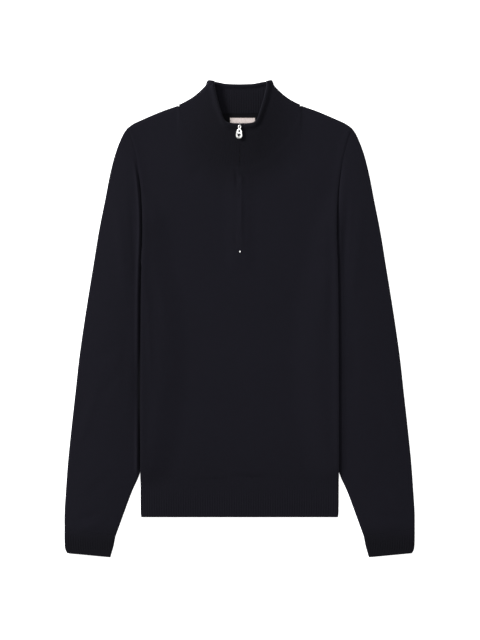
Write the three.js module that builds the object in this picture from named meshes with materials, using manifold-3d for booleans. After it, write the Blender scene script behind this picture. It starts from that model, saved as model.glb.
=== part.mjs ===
// Quarter zip sweater, laid flat on its back: fine jersey body and sleeves, ribbed hem and cuffs,
// a doubled ribbed stand-up collar and a concealed zip with a metal slider and pull tab.
// Millimetres. +X is the wearer's left, +Y runs from hem to neck, +Z is up from the surface.

import * as THREE from 'three';
import { mergeVertices } from 'three/addons/utils/BufferGeometryUtils.js';
import Module from 'manifold-3d';

const wasm = await Module();
wasm.setup();

const { clamp, lerp, smoothstep } = THREE.MathUtils;

// Knit walls and the gaps between pieces
const jerseyWall = 1.6;
const ribWall = 2;
const collarWall = 2.6;
const ribHeight = 0.6;
const ribPitch = 4;
const seamGap = 0.3;
const plyGap = 0.4;

// Body outline, half widths from the centre line
const hemY = -326.7;
const hemRibHeight = 64.7;
const bodyBottomY = hemY + hemRibHeight;
const sideSeam = [
  { y: -326.7, halfWidth: 162.3 },
  { y: -318, halfWidth: 163.2 },
  { y: -262, halfWidth: 163.5 },
  { y: -134, halfWidth: 163.5 },
  { y: 31, halfWidth: 162.7 },
  { y: 97, halfWidth: 161.4 },
];
const shoulderTip = new THREE.Vector2(185, 314.5);
const armholeBend = new THREE.Vector2(153, 235);
const underarm = new THREE.Vector2(161.4, 97);
const neckPoint = new THREE.Vector2(102.4, 351.6);
const shoulderLine = [
  { x: 102.4, y: 351.6 },
  { x: 130.4, y: 341.6 },
  { x: 161.7, y: 328.2 },
  { x: 176, y: 321.4 },
  { x: 185, y: 314.5 },
];
const frontNeckline = [
  { x: 0, y: 252 },
  { x: 30, y: 256 },
  { x: 57, y: 274 },
  { x: 82, y: 303.6 },
  { x: 102.4, y: 351.6 },
];
const backNeckline = [
  { x: 0, y: 339 },
  { x: 50, y: 341.5 },
  { x: 102.4, y: 351.6 },
];

// The body lies flat on its back, and is lifted where a sleeve passes below its side
const sleeveLift = 4.6;
const liftSlope = { start: -34, end: -4 };
const liftTop = { full: 150, none: 215 };
const liftBottom = { full: -245, none: -285 };

// Sleeves: each ring runs from the outer fold to the inner fold
// bow bends a ring like the armhole, crown is its soft rise, shown is the part clear of the body
const sleeveRings = [
  { outerX: 185.4, outerY: 314.5, innerX: 161.8, innerY: 97, bow: 1, crown: 0.6, shown: 1 },
  { outerX: 193.4, outerY: 302, innerX: 159.5, innerY: 84, bow: 0.8, crown: 1, shown: 0.9 },
  { outerX: 204.2, outerY: 275, innerX: 156, innerY: 72, bow: 0.5, crown: 1.8, shown: 0.86 },
  { outerX: 213.4, outerY: 240, innerX: 152.5, innerY: 60, bow: 0.25, crown: 2.2, shown: 0.82 },
  { outerX: 221.9, outerY: 196.4, innerX: 149, innerY: 46, bow: 0.1, crown: 2.4, shown: 0.8 },
  { outerX: 232.3, outerY: 143.6, innerX: 145, innerY: 24, bow: 0, crown: 2.4, shown: 0.78 },
  { outerX: 240.9, outerY: 90.8, innerX: 141.5, innerY: -5, bow: 0, crown: 2.4, shown: 0.77 },
  { outerX: 249.5, outerY: 37.9, innerX: 139, innerY: -36, bow: 0, crown: 2.4, shown: 0.77 },
  { outerX: 257.7, outerY: -14.9, innerX: 138.3, innerY: -70, bow: 0, crown: 2.4, shown: 0.78 },
  { outerX: 265, outerY: -67.7, innerX: 139.5, innerY: -105, bow: 0, crown: 2.4, shown: 0.8 },
  { outerX: 270.8, outerY: -120.5, innerX: 143, innerY: -143, bow: 0, crown: 2.4, shown: 0.83 },
  { outerX: 276.7, outerY: -173.3, innerX: 149, innerY: -185, bow: 0, crown: 2.4, shown: 0.87 },
  { outerX: 282.2, outerY: -226, innerX: 157.5, innerY: -228, bow: 0, crown: 2.4, shown: 0.94 },
  { outerX: 284.6, outerY: -255, innerX: 165.3, innerY: -257, bow: 0, crown: 2.4, shown: 1 },
  { outerX: 286.8, outerY: -287, innerX: 178, innerY: -286, bow: 0, crown: 2.2, shown: 1 },
  { outerX: 288.8, outerY: -320, innerX: 191, innerY: -321, bow: 0, crown: 2, shown: 1 },
  { outerX: 288.9, outerY: -346.2, innerX: 204.3, innerY: -357.6, bow: 0, crown: 1.6, shown: 1 },
];
const armholeBow = new THREE.Vector2(-20.3, 29.2);
const sleeveFlatHeight = 3.8;
const sleeveFoldReach = 7;
const acrossSleeve = [0, 0.035, 0.13, 0.27, 0.42, 0.57, 0.72, 0.87, 0.965, 1];
const acrossUnderside = [0.955, 0.73, 0.51, 0.27, 0.045];

// Cuffs
const cuffRings = [
  { outerX: 288.9, outerY: -346.6, innerX: 204.5, innerY: -358.1, bow: 0, crown: 0.8, shown: 1 },
  { outerX: 288.8, outerY: -367, innerX: 207.6, innerY: -374, bow: 0, crown: 0.6, shown: 1 },
  { outerX: 286.2, outerY: -385.6, innerX: 212.9, innerY: -392.7, bow: 0, crown: 0.2, shown: 1 },
];
const cuffFlatHeight = 4.6;
const cuffRibColumns = 38;

// Collar: a doubled band from the zip round the side folds to the centre back
const collarFrontTopY = 321.8;
const collarFoot = new THREE.Vector2(101.2, 355.5);
const collarPeak = new THREE.Vector2(51.3, 392.4);
const collarSideBow = new THREE.Vector2(-3.2, -4.1);
const collarFrontLift = 8;
const collarLiftPower = 1.3;
const collarSeamZ = 4.6;
const collarRows = [0, 0.25, 0.5, 0.8, 1];
const collarFrontEdge = [
  { x: 0, y: 321.8 },
  { x: 14, y: 322 },
  { x: 20.5, y: 324 },
  { x: 24.6, y: 331 },
  { x: 33, y: 357 },
  { x: 41.2, y: 382 },
];
const collarBackEdge = [
  { x: 0, y: 386.2 },
  { x: 22, y: 387 },
  { x: 36, y: 389.6 },
  { x: 44.5, y: 391 },
];
const foldDirectionAtSeam = new THREE.Vector2(0.5, 0.87);
const foldDirectionAtEdge = new THREE.Vector2(0.98, 0.2);
const foldAngles = [0.2, 0.4, 0.6, 0.8];
const collarFrontColumns = 66;
const collarBackColumns = 20;
const collarPlainColumns = 2;

// Zip: a slit from the front neckline to the foot, two tapes behind it, a stop at the foot
const slitHalfWidth = 0.6;
const slitHalfAtSlider = 1.15;
const slitHalfAtFoot = 0.85;
const slitFootY = 108;
const tapeWidth = 12;
const tapeWall = 1;
const tapeTopY = 312;
const tapeRowsY = [105, 122, 160, 200, 240];
const zipRidge = { height: 1.2, flatTo: 15, endsAt: 28, startsY: 67, fullY: 97 };
const stopY = 111;
const stopSize = { stem: 0.9, stemLength: 2.6, cap: 2.6, capLength: 3.4, capWall: 0.7 };

// Slider and pull tab, in their own frame: y up the zip, z out of the collar
const sliderY = 317.6;
const sliderTurn = THREE.MathUtils.degToRad(-4);
const sliderBack = { width: 7, length: 7, wall: 2.2 };
const sliderPost = { width: 1, length: 4.4 };
const sliderPlate = { width: 4.4, length: 7.4, wall: 1, lift: 0.3 };
const bridgeWidth = 1.2;
const bridgeInnerRadius = 1.25;
const bridgeOuterRadius = 2.3;
const bridgeTail = { x: 5, z: 0.4 };
const hingeHeight = 2.6;
const tabWall = 1.4;
const tabOutline = [
  { x: 0, y: 0.85 },
  { x: 2, y: 0.1 },
  { x: 2.8, y: -1.6 },
  { x: 2.5, y: -3.2 },
  { x: 1.9, y: -4.3 },
  { x: 2.9, y: -5.8 },
  { x: 4.2, y: -8.2 },
  { x: 4.9, y: -11.6 },
  { x: 5.35, y: -15.6 },
  { x: 4.5, y: -18.9 },
  { x: 2.7, y: -20.6 },
  { x: 0, y: -21.1 },
];
const tabSlot = { halfWidth: 1.1, fromY: -0.75, toY: -3.3 };
const tabOval = { y: -8.9, radiusX: 1.3, radiusY: 2 };
const tabHole = { y: -15.6, radius: 2.65 };

// Neck label, sewn below the back neck seam
const labelSize = { width: 42.4, height: 16, wall: 1 };
const labelCentre = { x: 4.5, y: 324.8 };

// Finishes
const navyJersey = new THREE.MeshStandardMaterial({ color: 0x1d1c22, roughness: 0.95, metalness: 0 });
const navyRib = new THREE.MeshStandardMaterial({ color: 0x19181e, roughness: 0.95, metalness: 0 });
const navyTape = new THREE.MeshStandardMaterial({ color: 0x16161b, roughness: 0.9, metalness: 0 });
const steel = new THREE.MeshStandardMaterial({ color: 0xc9c9c6, roughness: 0.28, metalness: 1 });
const labelCloth = new THREE.MeshStandardMaterial({ color: 0xdccfcb, roughness: 0.8, metalness: 0 });

// Value of one column of a table where another column has the given value, on a smooth curve
function readTable(table, fromColumn, toColumn, at) {
  const rising = table[0][fromColumn] < table[table.length - 1][fromColumn];
  const rows = rising ? table : [...table].reverse();
  let k = 0;
  while (k < rows.length - 2 && at > rows[k + 1][fromColumn]) {
    k += 1;
  }
  const slopeAt = (i) => {
    const before = rows[Math.max(i - 1, 0)];
    const after = rows[Math.min(i + 1, rows.length - 1)];
    return (after[toColumn] - before[toColumn]) / (after[fromColumn] - before[fromColumn]);
  };
  const span = rows[k + 1][fromColumn] - rows[k][fromColumn];
  const t = clamp((at - rows[k][fromColumn]) / span, 0, 1);
  const low = rows[k][toColumn];
  const high = rows[k + 1][toColumn];
  const bend = t * (1 - t) * span;
  const straight = (high - low) / span;
  const pull = (slopeAt(k) - straight) * (1 - t) - (slopeAt(k + 1) - straight) * t;
  return lerp(low, high, t) + bend * pull;
}

// Point at a fraction of the length of a polyline
function pointAlong(points, fraction) {
  const lengths = points.slice(1).map((point, k) => point.distanceTo(points[k]));
  let left = fraction * lengths.reduce((sum, length) => sum + length, 0);
  let k = 0;
  while (k < lengths.length - 1 && left > lengths[k]) {
    left -= lengths[k];
    k += 1;
  }
  return new THREE.Vector2().lerpVectors(points[k], points[k + 1], left / lengths[k]);
}

// Closed wall between an outer and an inner grid of points, joined round the edge of the kept cells
function wallGeometry({ rows, columns, outer, inner, round = false, keep = () => true }) {
  const positions = [];
  const wrap = (j) => (round ? (j + columns) % columns : j);
  for (const place of [outer, inner]) {
    for (let i = 0; i < rows; i += 1) {
      for (let j = 0; j < columns; j += 1) {
        positions.push(...place(i, j).toArray());
      }
    }
  }
  const out = ([i, j]) => i * columns + wrap(j);
  const into = (corner) => rows * columns + out(corner);
  const cells = round ? columns : columns - 1;
  const kept = (i, j) => {
    const inside = i >= 0 && i < rows - 1 && (round || (j >= 0 && j < cells));
    return inside && keep(i, wrap(j));
  };
  const faces = [];
  for (let i = 0; i < rows - 1; i += 1) {
    for (let j = 0; j < cells; j += 1) {
      if (!kept(i, j)) {
        continue;
      }
      const corners = [[i, j], [i, j + 1], [i + 1, j + 1], [i + 1, j]];
      const [a, b, c, d] = corners;
      faces.push(out(a), out(b), out(c), out(a), out(c), out(d));
      faces.push(into(a), into(c), into(b), into(a), into(d), into(c));
      const neighbours = [[i - 1, j], [i, j + 1], [i + 1, j], [i, j - 1]];
      neighbours.forEach(([ni, nj], side) => {
        if (!kept(ni, nj)) {
          const from = corners[side];
          const to = corners[(side + 1) % corners.length];
          faces.push(out(from), into(from), into(to), out(from), into(to), out(to));
        }
      });
    }
  }
  const geometry = new THREE.BufferGeometry();
  geometry.setAttribute('position', new THREE.Float32BufferAttribute(positions, 3));
  // A mirrored piece keeps its order of faces, and each of them is turned
  const turned = faces.map((_, k) => faces[k - (k % 3) + 2 - (k % 3)]);
  geometry.setIndex(enclosedVolume(positions, faces) < 0 ? turned : faces);
  geometry.computeVertexNormals();
  return geometry;
}

// Signed volume inside a closed set of triangles
function enclosedVolume(positions, faces) {
  const corner = (k) => new THREE.Vector3().fromArray(positions, 3 * faces[k]);
  let volume = 0;
  for (let k = 0; k < faces.length; k += 3) {
    volume += corner(k).dot(corner(k + 1).cross(corner(k + 2))) / 6;
  }
  return volume;
}

// Body outline

function armholeStepAt(y) {
  const square = shoulderTip.y - 2 * armholeBend.y + underarm.y;
  const linear = 2 * (armholeBend.y - shoulderTip.y);
  const root = Math.sqrt(linear ** 2 - 4 * square * (shoulderTip.y - y));
  return (-linear - root) / (2 * square);
}

const armhole = new THREE.QuadraticBezierCurve(shoulderTip, armholeBend, underarm);

function halfWidthAt(y) {
  if (y <= underarm.y) {
    return readTable(sideSeam, 'y', 'halfWidth', y);
  }
  return y >= shoulderTip.y ? shoulderTip.x : armhole.getPoint(armholeStepAt(y)).x;
}

function topEdge(neckline, x) {
  const table = x < neckPoint.x ? neckline : shoulderLine;
  return readTable(table, 'x', 'y', x);
}

// Where a column of a body panel, at a fraction of the half width, meets the neckline or shoulder
function columnTop(fraction, neckline) {
  let y = shoulderTip.y;
  for (let k = 0; k < 24; k += 1) {
    y = topEdge(neckline, Math.abs(fraction) * halfWidthAt(y));
  }
  return new THREE.Vector2(fraction * halfWidthAt(y), y);
}

// Row fractions from the hem rib to the shoulder, with one row at the foot of the zip slit
const sideRowCount = 11;
const armholeSteps = [1, 0.875, 0.75, 0.625, 0.5, 0.375, 0.25, 0.125, 0];
const rowFractions = [
  ...Array.from({ length: sideRowCount }, (_, k) => lerp(bodyBottomY, underarm.y, k / sideRowCount)),
  ...armholeSteps.map((step) => armhole.getPoint(step).y),
].map((y) => (y - bodyBottomY) / (shoulderTip.y - bodyBottomY));
const slitFootFraction = (slitFootY - bodyBottomY) / (frontNeckline[0].y - bodyBottomY);
rowFractions.push(slitFootFraction);
rowFractions.sort((a, b) => a - b);

const neckFraction = neckPoint.x / shoulderTip.x;
const frontFractions = [0.045, 0.09, 0.17, 0.25, 0.33, 0.41, 0.49, neckFraction, 0.66, 0.74, 0.82, 0.9, 0.96, 1];
const backFractions = [0, 0.17, 0.33, 0.45, neckFraction, 0.66, 0.74, 0.82, 0.9, 0.96, 1];

function bodyPoint(row, fraction, neckline) {
  const top = columnTop(fraction, neckline);
  const y = lerp(bodyBottomY + seamGap / 2, top.y, rowFractions[row]);
  return new THREE.Vector2(fraction * halfWidthAt(y), y);
}

const armholeEdge = rowFractions
  .map((_, row) => bodyPoint(row, 1, frontNeckline))
  .filter((point) => point.y > underarm.y - 1)
  .reverse();

// How far the sleeve below lifts the body
function bodyLift(x, y) {
  const fold = y > underarm.y ? sleeveRings[0].innerX : readTable(sleeveRings, 'innerY', 'innerX', y);
  const across = smoothstep(Math.abs(x), fold + liftSlope.start, fold + liftSlope.end);
  const above = 1 - smoothstep(y, liftTop.full, liftTop.none);
  const below = smoothstep(y, liftBottom.none, liftBottom.full);
  return sleeveLift * across * above * below;
}

// Underside of the front, raised a little along the zip
function frontUnderside(x, y) {
  const across = 1 - smoothstep(Math.abs(x), zipRidge.flatTo, zipRidge.endsAt);
  const along = smoothstep(y, zipRidge.startsY, zipRidge.fullY);
  return bodyLift(x, y) + jerseyWall + plyGap + zipRidge.height * across * along;
}

function slitHalfAt(y) {
  const nearSlider = smoothstep(y, tapeTopY - 14, tapeTopY);
  const nearFoot = 1 - smoothstep(y, slitFootY + 4, slitFootY + 30);
  return slitHalfWidth + (slitHalfAtSlider - slitHalfWidth) * nearSlider
    + (slitHalfAtFoot - slitHalfWidth) * nearFoot;
}

// Wall of cloth over a grid of plan points, from a height function for its underside
function clothPanel({ rows, columns, plan, underside, wall, relief = () => 0, keep }) {
  const place = (rise) => (i, j) => {
    const { x, y } = plan(i, j);
    return new THREE.Vector3(x, y, underside(x, y) + rise(i, j));
  };
  return wallGeometry({
    rows,
    columns,
    outer: place((i, j) => wall + relief(i, j)),
    inner: place(() => 0),
    keep,
  });
}

function frontPanel() {
  const left = [...frontFractions].reverse().map((fraction) => ({ fraction: -fraction }));
  const right = frontFractions.map((fraction) => ({ fraction }));
  const columns = [...left, { slit: -1 }, { slit: 1 }, ...right];
  const slitColumn = left.length;
  const slitRow = rowFractions.indexOf(slitFootFraction);
  return clothPanel({
    rows: rowFractions.length,
    columns: columns.length,
    plan: (i, j) => {
      const { slit, fraction } = columns[j];
      const point = bodyPoint(i, fraction ?? 0, frontNeckline);
      return slit ? point.setX(slit * slitHalfAt(point.y)) : point;
    },
    underside: frontUnderside,
    wall: jerseyWall,
    keep: (i, j) => j !== slitColumn || i < slitRow,
  });
}

function backPanel() {
  const left = backFractions.slice(1).reverse().map((fraction) => -fraction);
  const columns = [...left, ...backFractions];
  return clothPanel({
    rows: rowFractions.length,
    columns: columns.length,
    plan: (i, j) => bodyPoint(i, columns[j], backNeckline),
    underside: bodyLift,
    wall: jerseyWall,
  });
}

// Hem rib: the same outline below the body, ribbed on the side that shows
function hemRib({ columnCount, underside, relief }) {
  const rowsY = [hemY, hemY + 8.7, liftBottom.none, bodyBottomY - seamGap / 2];
  return clothPanel({
    rows: rowsY.length,
    columns: columnCount + 1,
    plan: (i, j) => {
      const across = (2 * j) / columnCount - 1;
      return new THREE.Vector2(across * halfWidthAt(rowsY[i]), rowsY[i]);
    },
    underside,
    wall: ribWall,
    relief,
  });
}

const zigzag = (j) => ribHeight * (j % 2);
const ribColumn = ribPitch / 2;
const hemColumns = 2 * Math.round(sideSeam[2].halfWidth / ribColumn);

// Flattened tube of cloth: the upper ply, its two folds and the flat underside, ring after ring
function flatTube({ rings, side, wall, flatHeight, across, relief = () => 0, firstRing }) {
  const ringPoint = (i, t) => {
    const ring = rings[i];
    if (i === 0 && firstRing) {
      return firstRing(t);
    }
    const from = new THREE.Vector2(ring.outerX, ring.outerY);
    const to = new THREE.Vector2(ring.innerX, ring.innerY);
    const bend = from.clone().lerp(to, 0.5).addScaledVector(armholeBow, ring.bow);
    return new THREE.QuadraticBezierCurve(from, bend, to).getPoint(t);
  };
  const ringWidth = (i) => ringPoint(i, 0).distanceTo(ringPoint(i, 1));
  const topAt = (i, t) => {
    const { crown, shown } = rings[i];
    const fromFold = Math.min(t, 1 - t) * ringWidth(i);
    const rounded = flatHeight * 0.5 * (1 + Math.sqrt(clamp(fromFold / 4, 0, 1)));
    return rounded + crown * Math.sin(Math.PI * Math.min(t / shown, 1));
  };
  const stations = [
    ...across.map((t, k) => ({ t, upper: true, fold: t === 0 || t === 1, rib: relief(k) })),
    ...acrossUnderside.map((t) => ({ t, upper: false })),
  ];
  const outer = (i, j) => {
    const { t, upper, fold, rib } = stations[j];
    const point = ringPoint(i, t);
    const top = fold ? flatHeight / 2 : topAt(i, t) + rib;
    return new THREE.Vector3(side * point.x, point.y, upper ? top : 0);
  };
  const inner = (i, j) => {
    const { t, upper, fold } = stations[j];
    const inset = sleeveFoldReach / ringWidth(i);
    const point = ringPoint(i, inset + t * (1 - 2 * inset));
    const ceiling = fold ? flatHeight / 2 : Math.max(topAt(i, t) - wall, wall + seamGap);
    return new THREE.Vector3(side * point.x, point.y, upper ? ceiling : wall);
  };
  return wallGeometry({ rows: rings.length, columns: stations.length, outer, inner, round: true });
}

function sleeve(side) {
  return flatTube({
    rings: sleeveRings,
    side,
    wall: jerseyWall,
    flatHeight: sleeveFlatHeight,
    across: acrossSleeve,
    firstRing: (t) => pointAlong(armholeEdge, t).add(new THREE.Vector2(seamGap + 0.1, 0)),
  });
}

function cuff(side) {
  const ribbed = Array.from({ length: cuffRibColumns + 1 }, (_, k) => lerp(0.03, 0.97, k / cuffRibColumns));
  return flatTube({
    rings: cuffRings,
    side,
    wall: ribWall,
    flatHeight: cuffFlatHeight,
    across: [0, ...ribbed, 1],
    relief: (k) => zigzag(k),
  });
}

// Collar

function collarFrontZ(h) {
  return collarSeamZ + collarFrontLift * h ** collarLiftPower;
}

const collarBackZ = collarWall / 2;
const foldRadius = (h) => (collarFrontZ(h) - collarBackZ) / 2;

// The side fold is a hollow curve: it lies this far inside the straight line from foot to peak
const sideBow = (h, share) => collarSideBow.clone().multiplyScalar(4 * h * (1 - h) * share);

const toVectors = (table) => table.map(({ x, y }) => new THREE.Vector2(x, y));

// Necklines as the panels really have them, a seam gap clear of the cloth
function seamLine(fractions, neckline) {
  return fractions
    .filter((fraction) => fraction <= neckFraction)
    .map((fraction) => columnTop(fraction, neckline).add(new THREE.Vector2(-seamGap, seamGap)));
}

const foldStartAtSeam = collarFoot.clone()
  .addScaledVector(foldDirectionAtSeam, -(foldRadius(0) + collarWall / 2));
const foldStartAtEdge = collarPeak.clone()
  .addScaledVector(foldDirectionAtEdge, -(foldRadius(1) + collarWall / 2));

const frontSeamPoints = [
  new THREE.Vector2(0, frontNeckline[0].y + seamGap),
  ...seamLine(frontFractions, frontNeckline).slice(0, -1),
  foldStartAtSeam,
];
const backSeamPoints = [
  new THREE.Vector2(0, backNeckline[0].y + seamGap),
  ...seamLine(backFractions, backNeckline).slice(1, -1),
  foldStartAtSeam,
];
const frontEdgeCurve = new THREE.SplineCurve([...toVectors(collarFrontEdge), foldStartAtEdge]);

// Each column of the collar is a list of points from seam to edge, with its rib on either face
function collarFrontColumn(k) {
  const along = k / collarFrontColumns;
  const seam = pointAlong(frontSeamPoints, along);
  const edge = frontEdgeCurve.getPointAt(along);
  const points = collarRows.map((h) => {
    const plan = seam.clone().lerp(edge, h).add(sideBow(h, along ** 3));
    const x = k === 0 ? slitHalfAt(plan.y) : plan.x;
    return new THREE.Vector3(x, plan.y, collarFrontZ(h));
  });
  return { points, frontRib: k > collarPlainColumns ? zigzag(k) : 0, backRib: 0 };
}

function collarFoldColumn(turn) {
  const points = collarRows.map((h) => {
    const centre = foldStartAtSeam.clone().lerp(foldStartAtEdge, h);
    const reach = collarFoot.clone().lerp(collarPeak, h).sub(centre);
    centre.add(sideBow(h, 1));
    const radius = foldRadius(h);
    const out = Math.sin(Math.PI * turn) * (1 - collarWall / 2 / reach.length());
    const plan = centre.addScaledVector(reach, out);
    return new THREE.Vector3(plan.x, plan.y, collarBackZ + radius * (1 + Math.cos(Math.PI * turn)));
  });
  return { points, frontRib: 0, backRib: 0 };
}

// Behind, the ribs stand upright, and the last columns fan out to the side fold
function collarBackColumn(k) {
  const fan = clamp((k - collarBackColumns) / 3, 0, 1);
  const uprightX = ribColumn * Math.min(k, collarBackColumns);
  const seamX = lerp(uprightX, foldStartAtSeam.x, fan);
  const edgeX = lerp(uprightX, foldStartAtEdge.x, fan);
  const seamY = fan === 1 ? foldStartAtSeam.y : heightOfPolyline(backSeamPoints, seamX);
  const edgeY = fan === 1 ? foldStartAtEdge.y : readTable(collarBackEdge, 'x', 'y', edgeX);
  const points = collarRows.map((h) => {
    const plan = new THREE.Vector2(lerp(seamX, edgeX, h), lerp(seamY, edgeY, h)).add(sideBow(h, fan));
    return new THREE.Vector3(plan.x, plan.y, collarBackZ);
  });
  return { points, frontRib: 0, backRib: fan > 0 ? 0 : zigzag(k) };
}

function heightOfPolyline(points, x) {
  const k = points.findIndex((point, index) => index > 0 && x <= point.x);
  return lerp(points[k - 1].y, points[k].y, (x - points[k - 1].x) / (points[k].x - points[k - 1].x));
}

function collar() {
  const fanColumns = 3;
  const half = [
    ...Array.from({ length: collarFrontColumns + 1 }, (_, k) => collarFrontColumn(k)),
    ...foldAngles.map((turn) => collarFoldColumn(turn)),
    ...Array.from({ length: collarBackColumns + fanColumns + 1 }, (_, k) => collarBackColumn(k)).reverse(),
  ];
  const mirrored = half.slice(0, -1).reverse().map((column) => ({
    ...column,
    points: column.points.map((point) => point.clone().setX(-point.x)),
  }));
  const columns = [...half, ...mirrored];
  const at = (i, j) => {
    const column = columns[clamp(j, 0, columns.length - 1)];
    return column.points[clamp(i, 0, collarRows.length - 1)];
  };
  const faceNormal = (i, j) => {
    const round = at(i, j + 1).clone().sub(at(i, j - 1));
    const up = at(i + 1, j).clone().sub(at(i - 1, j));
    return round.cross(up).normalize();
  };
  return wallGeometry({
    rows: collarRows.length,
    columns: columns.length,
    outer: (i, j) => at(i, j).clone()
      .addScaledVector(faceNormal(i, j), collarWall / 2 + columns[j].frontRib),
    inner: (i, j) => at(i, j).clone()
      .addScaledVector(faceNormal(i, j), -(collarWall / 2 + columns[j].backRib)),
  });
}

// Zip

// Underside of the cloth along the zip, from the front panel up into the collar
function zipUnderside(x, y) {
  if (y <= frontNeckline[0].y) {
    return frontUnderside(x, y);
  }
  const h = (y - frontNeckline[0].y) / (collarFrontTopY - frontNeckline[0].y);
  return collarFrontZ(h) - collarWall / 2;
}

function zipTape(side) {
  const collarY = (h) => lerp(frontNeckline[0].y, collarFrontTopY, h);
  const rowsY = [...tapeRowsY, collarY(0), collarY(0.4), tapeTopY];
  const tapeDrop = seamGap + tapeWall;
  return clothPanel({
    rows: rowsY.length,
    columns: 3,
    plan: (i, j) => new THREE.Vector2(side * (seamGap + (tapeWidth * j) / 2), rowsY[i]),
    underside: (x, y) => zipUnderside(x, y) - tapeDrop - (y > frontNeckline[0].y ? 0.2 : 0),
    wall: tapeWall,
  });
}

function toManifold(geometry) {
  const bare = new THREE.BufferGeometry();
  bare.setAttribute('position', geometry.getAttribute('position'));
  bare.setIndex(geometry.getIndex());
  const merged = mergeVertices(bare, 1e-4);
  return new wasm.Manifold(new wasm.Mesh({
    numProp: 3,
    vertProperties: new Float32Array(merged.getAttribute('position').array),
    triVerts: new Uint32Array(merged.getIndex().array),
  }));
}

function joined(geometries) {
  const solid = geometries.map(toManifold).reduce((sum, piece) => sum.add(piece));
  const mesh = solid.getMesh();
  const geometry = new THREE.BufferGeometry();
  geometry.setAttribute('position', new THREE.Float32BufferAttribute(mesh.vertProperties, mesh.numProp));
  geometry.setIndex(Array.from(mesh.triVerts));
  geometry.computeVertexNormals();
  return geometry;
}

function block(width, length, wall, centre) {
  return new THREE.BoxGeometry(width, length, wall).translate(...centre);
}

function zipStop() {
  const ridgeTop = frontUnderside(0, stopY) + jerseyWall;
  const stemBottom = ridgeTop - jerseyWall;
  const capMiddle = ridgeTop + seamGap + stopSize.capWall / 2;
  const stemHeight = capMiddle - stemBottom;
  const stemMiddle = stemBottom + stemHeight / 2;
  return joined([
    block(stopSize.stem, stopSize.stemLength, stemHeight, [0, stopY, stemMiddle]),
    block(stopSize.cap, stopSize.capLength, stopSize.capWall, [0, stopY, capMiddle]),
  ]);
}

// Bridge over the pull tab's bar: a low arch with a tail up the zip, cut through round the hinge
function bridge() {
  const plateTop = sliderPlate.lift + sliderPlate.wall;
  const foot = plateTop - sliderPlate.wall / 2;
  const side = new THREE.Shape();
  side.moveTo(-bridgeOuterRadius, foot);
  side.lineTo(-bridgeOuterRadius, hingeHeight);
  side.absarc(0, hingeHeight, bridgeOuterRadius, Math.PI, Math.PI / 3, true);
  side.lineTo(bridgeTail.x, plateTop + bridgeTail.z);
  side.lineTo(bridgeTail.x, foot);
  side.closePath();
  const hole = new THREE.Path();
  hole.moveTo(-bridgeInnerRadius, plateTop);
  hole.lineTo(bridgeInnerRadius, plateTop);
  hole.lineTo(bridgeInnerRadius, hingeHeight);
  hole.absarc(0, hingeHeight, bridgeInnerRadius, 0, Math.PI, false);
  hole.closePath();
  side.holes.push(hole);
  const geometry = new THREE.ExtrudeGeometry(side, { depth: bridgeWidth, bevelEnabled: false, curveSegments: 10 });
  geometry.translate(0, 0, -bridgeWidth / 2);
  const toZipFrame = new THREE.Matrix4().makeBasis(
    new THREE.Vector3(0, 1, 0),
    new THREE.Vector3(0, 0, 1),
    new THREE.Vector3(1, 0, 0),
  );
  return geometry.applyMatrix4(toZipFrame);
}

function zipSlider() {
  const backTop = -(collarWall + seamGap);
  const backMiddle = backTop - sliderBack.wall / 2;
  const postTop = sliderPlate.lift + sliderPlate.wall / 2;
  const postHeight = postTop - backMiddle;
  const plateMiddle = sliderPlate.lift + sliderPlate.wall / 2;
  return joined([
    block(sliderBack.width, sliderBack.length, sliderBack.wall, [0, -0.2, backMiddle]),
    block(sliderPost.width, sliderPost.length, postHeight, [0, 0, backMiddle + postHeight / 2]),
    block(sliderPlate.width, sliderPlate.length, sliderPlate.wall, [0, 1, plateMiddle]),
    bridge(),
  ]);
}

function zipPuller() {
  const right = toVectors(tabOutline);
  const left = right.slice(1, -1).reverse().map(({ x, y }) => new THREE.Vector2(-x, y));
  const loop = new THREE.CatmullRomCurve3(
    [...right, ...left].map(({ x, y }) => new THREE.Vector3(x, y, 0)),
    true,
    'centripetal',
  );
  const outline = new THREE.Shape(loop.getPoints(44).slice(0, -1).map(({ x, y }) => new THREE.Vector2(x, y)));
  const slot = new THREE.Path();
  const slotEnd = tabSlot.toY + tabSlot.halfWidth;
  slot.moveTo(tabSlot.halfWidth, tabSlot.fromY);
  slot.lineTo(-tabSlot.halfWidth, tabSlot.fromY);
  slot.lineTo(-tabSlot.halfWidth, slotEnd);
  slot.absarc(0, slotEnd, tabSlot.halfWidth, Math.PI, 2 * Math.PI, false);
  slot.closePath();
  const oval = new THREE.Path().absellipse(0, tabOval.y, tabOval.radiusX, tabOval.radiusY, 0, 2 * Math.PI);
  const round = new THREE.Path().absarc(0, tabHole.y, tabHole.radius, 0, 2 * Math.PI);
  outline.holes.push(slot, oval, round);
  const geometry = new THREE.ExtrudeGeometry(outline, { depth: tabWall, bevelEnabled: false, curveSegments: 8 });
  return geometry.translate(0, 0, -tabWall / 2);
}

function neckLabel() {
  const { width, height, wall } = labelSize;
  const bottom = bodyLift(labelCentre.x, labelCentre.y) + jerseyWall + seamGap;
  return block(width, height, wall, [labelCentre.x, labelCentre.y, bottom + wall / 2]);
}

// The sweater

const sweater = new THREE.Group();

function addPiece(name, geometry, material, parent = sweater) {
  const piece = new THREE.Mesh(geometry, material);
  piece.name = name;
  parent.add(piece);
  return piece;
}

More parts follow.
